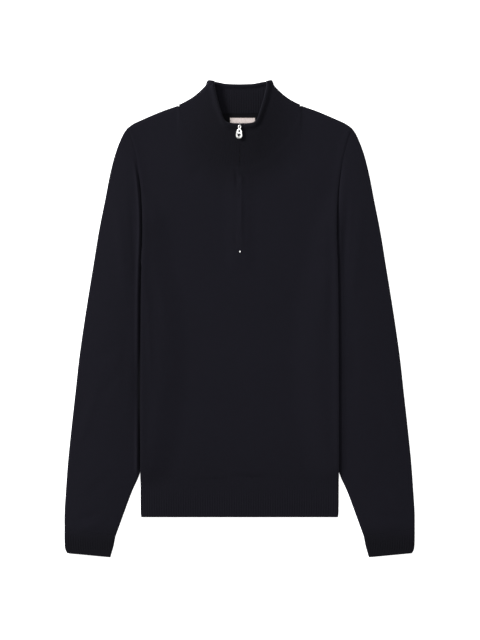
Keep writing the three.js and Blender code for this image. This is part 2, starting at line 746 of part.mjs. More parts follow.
addPiece('back_panel', backPanel(), navyJersey);
addPiece('front_panel', frontPanel(), navyJersey);
addPiece('hem_rib_back', hemRib({ columnCount: 40, underside: bodyLift }), navyRib);
addPiece('hem_rib_front', hemRib({
  columnCount: hemColumns,
  underside: (x, y) => bodyLift(x, y) + ribWall + 2 * plyGap,
  relief: (i, j) => zigzag(j),
}), navyRib);
for (const { name, side } of [{ name: 'left', side: 1 }, { name: 'right', side: -1 }]) {
  addPiece(`sleeve_${name}`, sleeve(side), navyJersey);
  addPiece(`cuff_${name}`, cuff(side), navyRib);
  addPiece(`zip_tape_${name}`, zipTape(side), navyTape);
}
addPiece('collar', collar(), navyRib);
addPiece('neck_label', neckLabel(), labelCloth);
addPiece('zip_bottom_stop', zipStop(), steel);

// The slider and its pull tab stand on the sloping collar, turned a little in the plane of the cloth
const sliderH = (sliderY - frontNeckline[0].y) / (collarFrontTopY - frontNeckline[0].y);
const lastRows = collarRows.slice(-2);
const slopeRise = collarFrontZ(lastRows[1]) - collarFrontZ(lastRows[0]);
const slopeRun = (lastRows[1] - lastRows[0]) * (collarFrontTopY - frontNeckline[0].y);
const collarSlope = Math.atan2(slopeRise, slopeRun);
const midZ = lerp(
  collarFrontZ(lastRows[0]),
  collarFrontZ(lastRows[1]),
  (sliderH - lastRows[0]) / (lastRows[1] - lastRows[0]),
);
const zipHead = new THREE.Group();
zipHead.position.set(0, sliderY, midZ + collarWall / 2 / Math.cos(collarSlope));
zipHead.rotation.set(collarSlope, 0, sliderTurn);
sweater.add(zipHead);
addPiece('zip_slider', zipSlider(), steel, zipHead);
addPiece('zip_puller', zipPuller(), steel, zipHead).position.z = hingeHeight;

export default sweater;
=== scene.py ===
"""Quarter zip sweater laid flat: the finished knit, ribs, zip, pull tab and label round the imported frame."""

import logging
import math
from dataclasses import dataclass, field
from enum import Enum
from functools import lru_cache
from typing import Callable, Sequence

import bmesh
import bpy
from mathutils import Matrix, Vector


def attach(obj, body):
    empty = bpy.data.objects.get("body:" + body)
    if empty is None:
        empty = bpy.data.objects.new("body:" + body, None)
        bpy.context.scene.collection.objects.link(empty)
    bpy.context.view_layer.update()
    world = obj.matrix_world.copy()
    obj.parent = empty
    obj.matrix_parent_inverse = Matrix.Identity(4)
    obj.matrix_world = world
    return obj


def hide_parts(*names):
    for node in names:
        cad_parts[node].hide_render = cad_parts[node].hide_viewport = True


LOG = logging.getLogger("sweater")
MM = 0.001
TAU = 2 * math.pi
IN_MM = Matrix.Scale(MM, 4)

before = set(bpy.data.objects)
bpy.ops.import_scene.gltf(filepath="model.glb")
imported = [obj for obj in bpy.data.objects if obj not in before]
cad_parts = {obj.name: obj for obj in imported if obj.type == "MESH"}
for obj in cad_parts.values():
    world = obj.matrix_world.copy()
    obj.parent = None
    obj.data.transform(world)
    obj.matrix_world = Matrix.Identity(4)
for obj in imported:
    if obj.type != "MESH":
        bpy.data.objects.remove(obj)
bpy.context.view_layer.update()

Table = Sequence[tuple[float, float]]
Place = Callable[[float, float], Vector]
Triple = tuple[float, float, float]
Shape = bmesh.types.BMesh
Material = bpy.types.Material
Piece = bpy.types.Object
Socket = bpy.types.NodeSocket


class Side(Enum):
    """A side of the wearer, as the sign of X."""

    LEFT = 1
    RIGHT = -1

    @property
    def word(self) -> str:
        """The side as used in the names of pieces."""
        return self.name.lower()


class Slot(Enum):
    """Material slots of the record."""

    JERSEY = "jersey"
    RIB = "rib"
    TAPE = "zip_tape"
    LABEL = "label"
    METAL = "zip_metal"


def clamp(value: float, low: float = 0.0, high: float = 1.0) -> float:
    """Value held between low and high."""
    return max(low, min(high, value))


def lerp(a: float, b: float, t: float) -> float:
    """Straight mix of a and b."""
    return a + (b - a) * t


def smoothstep(value: float, low: float, high: float) -> float:
    """Smooth ramp from 0 at low to 1 at high."""
    t = clamp((value - low) / (high - low))
    return t * t * (3 - 2 * t)


def bell(distance: float, width: float) -> float:
    """Soft hump that is 1 at distance 0 and fades over width."""
    return math.exp(-((distance / width) ** 2))


def smooth_read(table: Table, at: float) -> float:
    """Reads a smooth curve through rows of (position, value).

    Args:
        table: Rows in rising order of position.
        at: Position to read, held inside the table.

    Returns:
        The value on the curve.
    """
    last = len(table) - 1
    k = 0
    while k < last - 1 and at > table[k + 1][0]:
        k += 1

    def slope(i: int) -> float:
        """Slope at a row, from its neighbours."""
        before, after = table[max(i - 1, 0)], table[min(i + 1, last)]
        return (after[1] - before[1]) / (after[0] - before[0])

    (x0, y0), (x1, y1) = table[k], table[k + 1]
    span = x1 - x0
    t = clamp((at - x0) / span)
    straight = (y1 - y0) / span
    pull = (slope(k) - straight) * (1 - t) - (slope(k + 1) - straight) * t
    return lerp(y0, y1, t) + t * (1 - t) * span * pull


def point_along(points: list[Vector], fraction: float) -> Vector:
    """Point at a fraction of the length of a line through points."""
    lengths = [(b - a).length for a, b in zip(points, points[1:])]
    left = fraction * sum(lengths)
    k = 0
    while k < len(lengths) - 1 and left > lengths[k]:
        left -= lengths[k]
        k += 1
    return points[k].lerp(points[k + 1], left / lengths[k])


def smooth_line(table: Table, steps: int = 12) -> list[Vector]:
    """Dense points on a rounded curve through the rows of a table of x and y."""
    points = [Vector(row) for row in table]
    ends = [points[0] * 2 - points[1], *points, points[-1] * 2 - points[-2]]
    line = []
    for p0, p1, p2, p3 in zip(ends, ends[1:], ends[2:], ends[3:]):
        for k in range(steps):
            t = k / steps
            a = p1 * 2 + (p2 - p0) * t
            b = (p0 * 2 - p1 * 5 + p2 * 4 - p3) * t * t
            c = (p1 * 3 - p0 - p2 * 3 + p3) * t ** 3
            line.append((a + b + c) * 0.5)
    return [*line, points[-1]]


@dataclass(frozen=True)
class Crease:
    """A soft trough or ridge in laid cloth, in millimetres; a trough has a negative height."""

    start: tuple[float, float]
    end: tuple[float, float]
    width: float
    height: float

    def at(self, x: float, y: float) -> float:
        """Height that the crease adds at a point of the plan."""
        a, b = Vector(self.start), Vector(self.end)
        run = b - a
        t = clamp((Vector((x, y)) - a).dot(run) / run.length_squared)
        away = (Vector((x, y)) - a.lerp(b, t)).length
        fade = 1 - 0.75 * abs(2 * t - 1) ** 2
        return self.height * fade * bell(away, self.width)


FRONT_CREASES = [
    Crease((-7, 252), (-4, 218), 3.0, -1.6),
    Crease((2.4, 230), (1.8, 116), 4.2, 0.9),
    Crease((2.0, 200), (2.2, 150), 2.4, 0.5),
    Crease((3, 241), (13, 226), 2.0, -1.1),
    Crease((8, 246), (24, 232), 2.6, -0.6),
    Crease((1, 233), (4, 223), 1.7, 1.3),
    Crease((-9, 150), (-5, 120), 3.5, -0.5),
    Crease((-8, -259), (44, -262), 3.0, -0.7),
    Crease((-20, -250), (52, -253), 4.0, 0.4),
    Crease((-150, 90), (-128, -30), 9.0, -0.7),
    Crease((-153, 60), (-146, -110), 5.0, 0.6),
    Crease((152, 150), (149, -60), 6.0, -0.6),
    Crease((140, 210), (118, 120), 12.0, -0.7),
    Crease((-138, 215), (-118, 140), 10.0, -0.6),
    Crease((-60, 255), (-82, 230), 9.0, -0.6),
    Crease((64, 262), (90, 236), 9.0, -0.6),
    Crease((-90, -120), (30, -150), 26.0, -0.5),
    Crease((20, -60), (120, -90), 30.0, 0.5),
]
SLEEVE_CREASES = [
    Crease((178, 200), (171, 60), 5.0, -0.9),
    Crease((200, 180), (188, 40), 9.0, 0.7),
    Crease((187, -10), (190, -120), 8.0, -0.5),
    Crease((200, -90), (232, -130), 8.0, -0.6),
    Crease((192, -40), (238, -66), 10.0, -0.5),
    Crease((236, -120), (262, -200), 9.0, 0.6),
    Crease((214, -260), (250, -290), 8.0, -0.5),
    Crease((226, -318), (268, -332), 6.0, -0.6),
    Crease((222, -336), (262, -344), 4.0, 0.5),
]


class Pattern:
    """The sweater's cut as it lies, in millimetres, the same as its solids."""

    hem_y = -326.7
    body_bottom_y = -262.0
    side_seam: Table = [
        (-326.7, 162.3), (-318, 163.2), (-262, 163.5), (-134, 163.5), (31, 162.7), (97, 161.4),
    ]
    shoulder_tip = Vector((185, 314.5))
    armhole_bend = Vector((153, 235))
    underarm = Vector((161.4, 97))
    neck_point = Vector((102.4, 351.6))
    shoulder: Table = [(102.4, 351.6), (130.4, 341.6), (161.7, 328.2), (176, 321.4), (185, 314.5)]
    front_neck: Table = [(0, 252), (30, 256), (57, 274), (82, 303.6), (102.4, 351.6)]
    back_neck: Table = [(0, 339), (50, 341.5), (102.4, 351.6)]
    jersey_wall = 1.6
    ply_gap = 0.4
    sleeve_lift = 4.6
    front_ease = 54
    back_ease = 30
    zip_foot_y = 108.0
    collar_top_y = 321.8
    # outer x and y, inner x and y, bow, crown and the share clear of the body, from armhole to cuff
    sleeve_rings = [
        (185.4, 314.5, 161.8, 97, 1, 0, 1),
        (193.4, 302, 159.5, 84, 0.8, 1, 0.9),
        (204.2, 275, 156, 72, 0.5, 1.8, 0.86),
        (213.4, 240, 152.5, 60, 0.25, 2.2, 0.82),
        (221.9, 196.4, 149, 46, 0.1, 2.4, 0.8),
        (232.3, 143.6, 145, 24, 0, 2.4, 0.78),
        (240.9, 90.8, 141.5, -5, 0, 2.4, 0.77),
        (249.5, 37.9, 139, -36, 0, 2.4, 0.77),
        (257.7, -14.9, 138.3, -70, 0, 2.4, 0.78),
        (265, -67.7, 139.5, -105, 0, 2.4, 0.8),
        (270.8, -120.5, 143, -143, 0, 2.4, 0.83),
        (276.7, -173.3, 149, -185, 0, 2.4, 0.87),
        (282.2, -226, 157.5, -228, 0, 2.4, 0.94),
        (284.6, -255, 165.3, -257, 0, 2.4, 1),
        (286.8, -287, 178, -286, 0, 2.2, 1),
        (288.8, -320, 191, -321, 0, 2, 1),
        (288.9, -346.2, 204.3, -357.6, 0, 1.6, 1),
    ]
    cuff_rings = [
        (288.9, -346.3, 204.4, -357.8, 0, 0.8, 1),
        (288.8, -367, 207.6, -374, 0, 0.6, 1),
        (287.8, -379, 210.4, -384, 0, 0.4, 1),
        (284.6, -386, 212.9, -392.7, 0, 0.2, 1),
    ]
    armhole_bow = Vector((-20.3, 29.2))

    @classmethod
    def half_width(cls, y: float) -> float:
        """Half width of the body at a height, up to the shoulder tip."""
        if y <= cls.underarm.y:
            return smooth_read(cls.side_seam, y)
        if y >= cls.shoulder_tip.y:
            return cls.shoulder_tip.x
        tip, bend, under = cls.shoulder_tip, cls.armhole_bend, cls.underarm
        square = tip.y - 2 * bend.y + under.y
        linear = 2 * (bend.y - tip.y)
        root = math.sqrt(linear ** 2 - 4 * square * (tip.y - y))
        t = (-linear - root) / (2 * square)
        return tip.x * (1 - t) ** 2 + 2 * bend.x * t * (1 - t) + under.x * t * t

    @staticmethod
    @lru_cache(maxsize=None)
    def top_y(fraction: float, front: bool) -> float:
        """Where a body column at a fraction of the half width meets the neckline or shoulder."""
        neck = Pattern.front_neck if front else Pattern.back_neck
        y = Pattern.shoulder_tip.y
        for _ in range(24):
            x = fraction * Pattern.half_width(y)
            y = smooth_read(neck if x < Pattern.neck_point.x else Pattern.shoulder, x)
        return y

    @staticmethod
    @lru_cache(maxsize=None)
    def inner_fold() -> Table:
        """Inner fold of the sleeve as rows of (y, x), rising."""
        return sorted((row[3], row[2]) for row in Pattern.sleeve_rings)

    @classmethod
    def body_point(cls, fraction: float, v: float, front: bool) -> Vector:
        """Plan point of a body panel at a fraction across and v up from the hem rib."""
        y = lerp(cls.body_bottom_y, cls.top_y(round(abs(fraction), 6), front), v)
        return Vector((fraction * cls.half_width(y), y))

    @classmethod
    def body_lift(cls, x: float, y: float, ease: float = back_ease) -> float:
        """How far the sleeve below lifts the body, eased in over a width."""
        fold = cls.sleeve_rings[0][2] if y > cls.underarm.y else smooth_read(cls.inner_fold(), y)
        across = smoothstep(abs(x), fold - 4 - ease, fold - 4)
        return cls.sleeve_lift * across * (1 - smoothstep(y, 150, 215)) * smoothstep(y, -285, -245)

    @classmethod
    def front_top(cls, x: float, y: float) -> float:
        """Height of the front's face, with the ridge along the zip."""
        ridge = 1.2 * (1 - smoothstep(abs(x), 6, 28)) * smoothstep(y, 67, 100)
        return cls.body_lift(x, y, cls.front_ease) + cls.jersey_wall + cls.ply_gap + ridge + cls.jersey_wall

    @classmethod
    def ring(cls, rings: list[tuple], v: float) -> list[float]:
        """Ring values at v along a sleeve or cuff, smooth between the rows of its table."""
        spot = v * (len(rings) - 1)
        return [smooth_read([(i, row[c]) for i, row in enumerate(rings)], spot) for c in range(7)]


class Workshop:
    """Makes finished pieces from bmesh shapes and sets their rig and finish."""

    @staticmethod
    def piece(name: str, bm: Shape, material: Material) -> Piece:
        """Turns a bmesh into a smooth scene object.

        Args:
            name: Name of the piece.
            bm: Shape in metres, freed here.
            material: Finish of the whole piece.

        Returns:
            The new object, at the origin.
        """
        mesh = bpy.data.meshes.new(name)
        bm.to_mesh(mesh)
        bm.free()
        mesh.materials.append(material)
        mesh.polygons.foreach_set("use_smooth", [True] * len(mesh.polygons))
        obj = bpy.data.objects.new(name, mesh)
        bpy.context.scene.collection.objects.link(obj)
        return obj

    @staticmethod
    def rig(obj: Piece, slot: Slot, node: str = "", body: str = "sweater") -> None:
        """Rides a piece on its body and hides the solid that it stands for."""
        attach(obj, body)
        if node:
            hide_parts(node)
        LOG.info("%s: %d faces on %s", obj.name, len(obj.data.polygons), body)

    @classmethod
    def cloth(cls, node: str, bm: Shape, finish: Material, slot: Slot, wall: float, **cut: object) -> None:
        """Makes a laid piece of cloth that stands for a solid.

        Args:
            node: Solid that it stands for.
            bm: Its face, in metres.
            finish: Its material.
            slot: Material slot of the solid.
            wall: Thickness below the face, in millimetres.
            cut: Flat size, area and the pieces below it; not used.
        """
        weave = "woven" if slot is Slot.LABEL else "knit"
        obj = cls.piece(f"{node}_{weave}", bm, finish)
        solid = obj.modifiers.new("wall", "SOLIDIFY")
        solid.thickness = wall * MM
        solid.offset = -1
        cls.crisp(obj)
        cls.rig(obj, slot, node)

    @staticmethod
    def crisp(obj: Piece, degrees: float = 62) -> None:
        """Breaks the smooth shading along edges sharper than an angle."""
        obj.modifiers.new("border", "EDGE_SPLIT").split_angle = math.radians(degrees)

    @staticmethod
    def sheet_grid(columns: int, rows: int, place: Place) -> Shape:
        """A grid laid over a surface.

        Args:
            columns: Faces across.
            rows: Faces along.
            place: Point in millimetres for u from -1 to 1 across and v from 0 to 1 along.

        Returns:
            The shape, in metres.
        """
        bm = bmesh.new()
        bmesh.ops.create_grid(bm, x_segments=columns, y_segments=rows, size=1)
        for vert in bm.verts:
            vert.co = place(vert.co.x, (vert.co.y + 1) / 2) * MM
        return bm

    @staticmethod
    def face_up(bm: Shape) -> None:
        """Turns an open sheet so that its faces look up."""
        bm.normal_update()
        if sum(face.normal.z * face.calc_area() for face in bm.faces) < 0:
            bmesh.ops.reverse_faces(bm, faces=bm.faces)

    @staticmethod
    def close_tube(bm: Shape) -> None:
        """Joins the two edges of a grid that was wrapped into a tube and turns it outwards."""
        bmesh.ops.remove_doubles(bm, verts=bm.verts, dist=0.02 * MM)
        bmesh.ops.recalc_face_normals(bm, faces=bm.faces)
        middle = sum(vert.co.z for vert in bm.verts) / len(bm.verts)
        out = [(face.calc_center_median().z - middle) * face.normal.z * face.calc_area() for face in bm.faces]
        if sum(out) < 0:
            bmesh.ops.reverse_faces(bm, faces=bm.faces)


class NodePaint:
    """Short way to write a material's nodes."""

    def __init__(self, name: str) -> None:
        """Starts a material with its Principled shader."""
        self.material = bpy.data.materials.new(name)
        self.material.use_nodes = True
        self.tree = self.material.node_tree
        self.shader = self.tree.nodes["Principled BSDF"]

    def node(self, kind: str, **values: object) -> bpy.types.Node:
        """Adds a node and sets its own options."""
        made = self.tree.nodes.new(kind)
        for key, value in values.items():
            setattr(made, key, value)
        return made

    @staticmethod
    def preset(node: bpy.types.Node, values: dict[str, object]) -> bpy.types.Node:
        """Sets a node's free inputs by their names."""
        for key, value in values.items():
            node.inputs[key].default_value = value
        return node

    def link(self, source: Socket, target: Socket) -> None:
        """Joins two sockets."""
        self.tree.links.new(source, target)

    def math(self, operation: str, *inputs: object) -> Socket:
        """A Math node on numbers or sockets."""
        made = self.node("ShaderNodeMath", operation=operation)
        for k, value in enumerate(inputs):
            if isinstance(value, (int, float)):
                made.inputs[k].default_value = value
            else:
                self.link(value, made.inputs[k])
        return made.outputs[0]

    def place(self) -> Socket:
        """Object coordinates."""
        return self.node("ShaderNodeTexCoord").outputs["Object"]

    def noise(self, vector: Socket, scale: float, detail: float = 2) -> Socket:
        """Noise value on a vector."""
        made = self.preset(self.node("ShaderNodeTexNoise"), {"Scale": scale, "Detail": detail})
        self.link(vector, made.inputs["Vector"])
        return made.outputs["Fac"]

    def bump(self, height: Socket, distance: float, strength: float) -> None:
        """Bump from a height in metres times distance."""
        made = self.preset(self.node("ShaderNodeBump"), {"Distance": distance, "Strength": strength})
        self.link(height, made.inputs["Height"])
        self.link(made.outputs[0], self.shader.inputs["Normal"])

    def ramp(self, value: Socket, reach: tuple, result: tuple) -> Socket:
        """Smooth ramp of a value from one pair of numbers to another."""
        made = self.node("ShaderNodeMapRange", interpolation_type="SMOOTHSTEP")
        made.inputs["From Min"].default_value, made.inputs["From Max"].default_value = reach
        made.inputs["To Min"].default_value, made.inputs["To Max"].default_value = result
        self.link(value, made.inputs["Value"])
        return made.outputs[0]

    def tone(self, factor: Socket, dark: tuple, light: tuple,
             painted_shade: Socket | None = None) -> None:
        """Base colour between two tones, times a factor of painted shade where one is given."""
        mix = self.node("ShaderNodeMix", data_type="RGBA")
        mix.inputs[6].default_value = (*dark, 1)
        mix.inputs[7].default_value = (*light, 1)
        self.link(factor, mix.inputs[0])
        colour = mix.outputs[2]
        if painted_shade:
            scale = self.node("ShaderNodeVectorMath", operation="SCALE")
            self.link(colour, scale.inputs[0])
            self.link(painted_shade, scale.inputs["Scale"])
            colour = scale.outputs[0]
        self.link(colour, self.shader.inputs["Base Color"])


@dataclass(frozen=True)
class KnitFinish:
    """Fine wool knit: stitches in wales and courses, a soft halo and a little heather."""

    name: str
    dark: Triple
    light: Triple
    wale: float = 1.5
    course: float = 1.15
    relief: float = 0.28
    # Painted shade: the colour is darkened round the neck, on the hem and cuffs, and on cloth lying low in
    # tight folds, where less light falls.
    neck_centre: Triple = (0.001, 0.312, 0.01)
    neck_reach: tuple[float, float] = (0.035, 0.125)
    neck_shade: float = 0.64
    hem_reach: tuple[float, float] = (-0.16, -0.30)
    hem_shade: float = 0.86
    cuff_reach: tuple[float, float] = (-0.335, -0.372)
    cuff_shade: float = 0.52
    fold_reach: tuple[float, float] = (0.0019, 0.0032)
    fold_shade: float = 1.0

    def make(self) -> Material:
        """Builds the material."""
        paint = NodePaint(self.name)
        place = paint.place()
        split = paint.node("ShaderNodeSeparateXYZ")
        paint.link(place, split.inputs[0])
        across = paint.math("FRACT", paint.math("MULTIPLY", split.outputs[0], 1 / (self.wale * MM)))
        leg = paint.math("ABSOLUTE", paint.math("SUBTRACT", across, 0.5))
        along = paint.math("MULTIPLY", split.outputs[1], 1 / (self.course * MM))
        slant = paint.math("SUBTRACT", along, paint.math("MULTIPLY", leg, 1.6))
        loop = paint.math("SINE", paint.math("MULTIPLY", slant, TAU))
        column = paint.math("SINE", paint.math("MULTIPLY", leg, TAU))
        fuzz = paint.noise(place, 2600, 2)
        stitch = paint.math("ADD", paint.math("MULTIPLY", loop, 0.3), paint.math("MULTIPLY", column, 0.7))
        height = paint.math("ADD", stitch, paint.math("MULTIPLY", fuzz, 0.5))
        paint.bump(height, self.relief * MM, 0.55)
        heather = paint.noise(place, 900, 3)
        cloud = paint.noise(place, 9, 2)
        tone = paint.math("ADD", paint.math("MULTIPLY", heather, 0.6), paint.math("MULTIPLY", cloud, 0.25))
        shade = paint.math("ADD", tone, paint.math("MULTIPLY", stitch, 0.12))
        # The base colour is multiplied by painted shade.
        paint.tone(shade, self.dark, self.light, self.painted_shade(paint, place, split))
        paint.preset(paint.shader, {
            "Roughness": 0.92, "Specular IOR Level": 0.1, "Sheen Weight": 0.03, "Sheen Roughness": 0.55,
            "Sheen Tint": (0.72, 0.74, 0.95, 1),
        })
        return paint.material

    def painted_shade(self, paint: NodePaint, place: Socket, split: bpy.types.Node) -> Socket:
        """Painted shade: how much darker the colour is made round the neck, on the hem and cuffs and in tight
        folds, where less light falls.

        Args:
            paint: Material under way.
            place: Object coordinates.
            split: Their x, y and z.

        Returns:
            A factor on the colour.
        """
        away = paint.node("ShaderNodeVectorMath", operation="DISTANCE")
        paint.link(place, away.inputs[0])
        away.inputs[1].default_value = self.neck_centre
        neck = paint.ramp(away.outputs["Value"], self.neck_reach, (self.neck_shade, 1))
        beside = paint.ramp(paint.math("ABSOLUTE", split.outputs[0]), (0.16, 0.17), (0, 1))
        low = paint.ramp(split.outputs[1], self.hem_reach[::-1], (self.hem_shade, 1))
        hem = paint.math("MAXIMUM", low, beside)
        end = paint.ramp(split.outputs[1], self.cuff_reach[::-1], (self.cuff_shade, 1))
        # Painted shade round the neck, on the hem and on the cuffs.
        painted_zone_shade = paint.math("MULTIPLY", paint.math("MULTIPLY", neck, hem), end)
        # Painted shade on cloth lying low in tight folds; the underside on the floor is left out.
        painted_fold_shade = paint.ramp(split.outputs[2], self.fold_reach, (self.fold_shade, 1))
        under = paint.ramp(split.outputs[2], (0.0006, 0.0012), (1, 0))
        return paint.math("MULTIPLY", painted_zone_shade, paint.math("MAXIMUM", painted_fold_shade, under))


@dataclass(frozen=True)
class MetalFinish:
    """Polished silver metal with faint rubbing marks."""

    name: str = "polished_zip_metal"
    dark: Triple = (0.4, 0.4, 0.39)
    light: Triple = (0.58, 0.58, 0.57)
    metallic: float = 1

    def make(self) -> Material:
        """Builds the material."""
        paint = NodePaint(self.name)
        place = paint.place()
        wear = paint.noise(place, 420, 4)
        paint.tone(wear, self.dark, self.light)
        paint.bump(paint.noise(place, 1500, 3), 0.02 * MM, 0.25)
        rough = paint.preset(paint.node("ShaderNodeMapRange"), {"To Min": 0.18, "To Max": 0.34})
        paint.link(wear, rough.inputs["Value"])
        paint.link(rough.outputs[0], paint.shader.inputs["Roughness"])
        paint.preset(paint.shader, {"Metallic": self.metallic})
        return paint.material


@dataclass(frozen=True)
class WovenFinish:
    """Fine woven cloth of a tape or label: warp and weft as crossed threads."""

    name: str
    dark: Triple
    light: Triple
    thread: float
    roughness: float = 0.7

    def make(self) -> Material:
        """Builds the material."""
        paint = NodePaint(self.name)
        place = paint.place()
        split = paint.node("ShaderNodeSeparateXYZ")
        paint.link(place, split.inputs[0])
        turn = TAU / (self.thread * MM)
        warp = paint.math("SINE", paint.math("MULTIPLY", split.outputs[0], turn))
        weft = paint.math("SINE", paint.math("MULTIPLY", split.outputs[1], turn))
        weave = paint.math("MULTIPLY", warp, weft)
        paint.bump(weave, 0.08 * MM, 0.5)
        uneven = paint.noise(place, 500, 3)
        tone = paint.math("ADD", paint.math("MULTIPLY", weave, 0.18), uneven)
        paint.tone(tone, self.dark, self.light)
        paint.preset(paint.shader, {"Roughness": self.roughness, "Sheen Weight": 0.1})
        return paint.material


class Finishes:
    """Every finish of the sweater, made once."""

    def __init__(self) -> None:
        """Makes the materials."""
        dark, light = (0.0028, 0.0026, 0.0049), (0.0050, 0.0046, 0.0082)
        self.jersey = KnitFinish("navy_jersey", dark, light, fold_shade=0.42).make()
        self.rib = KnitFinish("navy_rib", dark, light, wale=1.33, relief=0.24).make()
        self.tape = WovenFinish("navy_zip_tape", (0.004, 0.004, 0.006), (0.009, 0.009, 0.012), 0.8).make()
        self.label = WovenFinish("cream_label", (0.36, 0.30, 0.285), (0.56, 0.49, 0.465), 0.42, 0.55).make()
        self.thread = WovenFinish("label_thread", (0.42, 0.36, 0.34), (0.6, 0.52, 0.5), 0.3).make()
        self.metal = MetalFinish().make()
        self.enamel = MetalFinish("dark_enamel", (0.010, 0.010, 0.014), (0.016, 0.016, 0.022), 0).make()


@dataclass
class BodyPanels:
    """Front and back panels and the two sides of the hem rib."""

    finishes: Finishes
    wall: float = 1.5
    front_columns: int = 181
    front_rows: int = 200
    back_grid: tuple[int, int] = (90, 100)
    neck_height: float = 4.85
    slit: float = 0.05
    rib_pitch: float = 4.0
    rib_height: float = 0.38
    per_rib: int = 8
    rib_wall: float = 2.0

    def front_fraction(self, u: float) -> tuple[float, bool]:
        """Fraction across for a grid column, and whether the column is an edge of the zip slit."""
        step = 1 / self.front_columns
        away = abs(u)
        if away < 1.5 * step:
            return math.copysign(0.0, u), True
        return math.copysign((away - step) / (1 - step), u), False

    def front_height(self, x: float, y: float) -> float:
        """Height of the front's face with its rolled edges and creases."""
        edge = Pattern.half_width(y) - abs(x)
        top = smooth_read(Pattern.shoulder, abs(x)) - y if abs(x) > Pattern.neck_point.x else 99.0
        proud = (1.2 if x > 0 and y < 215 else 0.8) * smoothstep(y, -262, -232)
        roll = proud * bell(edge - 2.5, 7) - 0.35 * bell(edge, 0.9) - 1.2 * bell(top, 2.5)
        soft = 0.25 * math.sin(x * 0.031 + y * 0.011) * math.sin(y * 0.023 - x * 0.007 + 1)
        creases = sum(crease.at(x, y) for crease in FRONT_CREASES)
        height = Pattern.front_top(x, y) + roll + soft + creases
        return lerp(height, self.neck_height, bell(self.below_neck(abs(x), y), 14))

    def below_neck(self, x: float, y: float) -> float:
        """Distance from the front neckline."""
        if x > Pattern.neck_point.x:
            return 99.0
        here, there = smooth_read(Pattern.front_neck, x), smooth_read(Pattern.front_neck, x + 1)
        return (here - y) / math.hypot(1, there - here)

    def front_place(self, u: float, v: float) -> Vector:
        """Point of the front's face."""
        fraction, at_slit = self.front_fraction(u)
        plan = Pattern.body_point(fraction, v, True)
        if at_slit:
            plan.x = math.copysign(self.slit, u)
        z = self.front_height(plan.x, plan.y)
        if plan.y > Pattern.zip_foot_y:
            z -= 0.15 * bell(abs(plan.x) - self.slit, 0.7)
        return Vector((plan.x, plan.y, z))

    def make_front(self) -> None:
        """Front panel with the zip slit cut down its centre line."""
        bm = Workshop.sheet_grid(self.front_columns, self.front_rows, self.front_place)
        slit = [
            face for face in bm.faces
            if abs(face.calc_center_median().x) < 0.1 * MM
            and face.calc_center_median().y > Pattern.zip_foot_y * MM
        ]
        bmesh.ops.delete(bm, geom=slit, context="FACES")
        Workshop.face_up(bm)
        cut = {"flat": (0.37, 0.614), "area": 0.186, "rests_on": ["back_panel_knit"]}
        Workshop.cloth("front_panel", bm, self.finishes.jersey, Slot.JERSEY, self.wall, **cut)

    def make_back(self) -> None:
        """Back panel, flat on the surface but for the lift over the sleeves."""
        def place(u: float, v: float) -> Vector:
            """Point of the back's inner face."""
            plan = Pattern.body_point(u, v, False)
            edge = Pattern.half_width(plan.y) - abs(plan.x)
            tuck = 0.5 * bell(edge, 2)
            return Vector((plan.x, plan.y, Pattern.body_lift(plan.x, plan.y) + self.wall + tuck))

        bm = Workshop.sheet_grid(*self.back_grid, place)
        Workshop.face_up(bm)
        cut = {"flat": (0.37, 0.614), "area": 0.205}
        Workshop.cloth("back_panel", bm, self.finishes.jersey, Slot.JERSEY, self.wall, **cut)

    def make_hem(self, front: bool) -> None:
        """One side of the hem rib; the underside that rests is plain."""
        width = 2 * Pattern.half_width(-290)
        ribs = round(width / self.rib_pitch)
        columns = ribs * self.per_rib if front else 80

        def place(u: float, v: float) -> Vector:
            """Point of the rib's upper face."""
            y = lerp(Pattern.hem_y, Pattern.body_bottom_y, v)
            x = u * Pattern.half_width(y)
            edge = Pattern.half_width(y) - abs(x)
            z = Pattern.body_lift(x, y, Pattern.front_ease if front else Pattern.back_ease) + self.rib_wall
            if front:
                joint = smoothstep(v, 0.3, 0.96)
                cord = abs(math.sin(math.pi * ribs * (u + 1) / 2))
                z += lerp(self.rib_wall + 0.2, 1.55, joint) + self.rib_height * cord * (1 - 0.8 * joint)
                z -= 1.2 * bell(edge, 1.8) + 0.5 * bell((y - Pattern.hem_y), 1.2)
                z += 0.3 * math.sin(x * 0.045) * bell(y + 290, 40)
            return Vector((x, y, z))

        bm = Workshop.sheet_grid(columns, 22 if front else 10, place)
        Workshop.face_up(bm)
        node = "hem_rib_front" if front else "hem_rib_back"
        cut = {"flat": (0.327, 0.065), "rests_on": ["hem_rib_back_knit"] if front else []}
        Workshop.cloth(node, bm, self.finishes.rib, Slot.RIB, self.rib_wall, **cut)


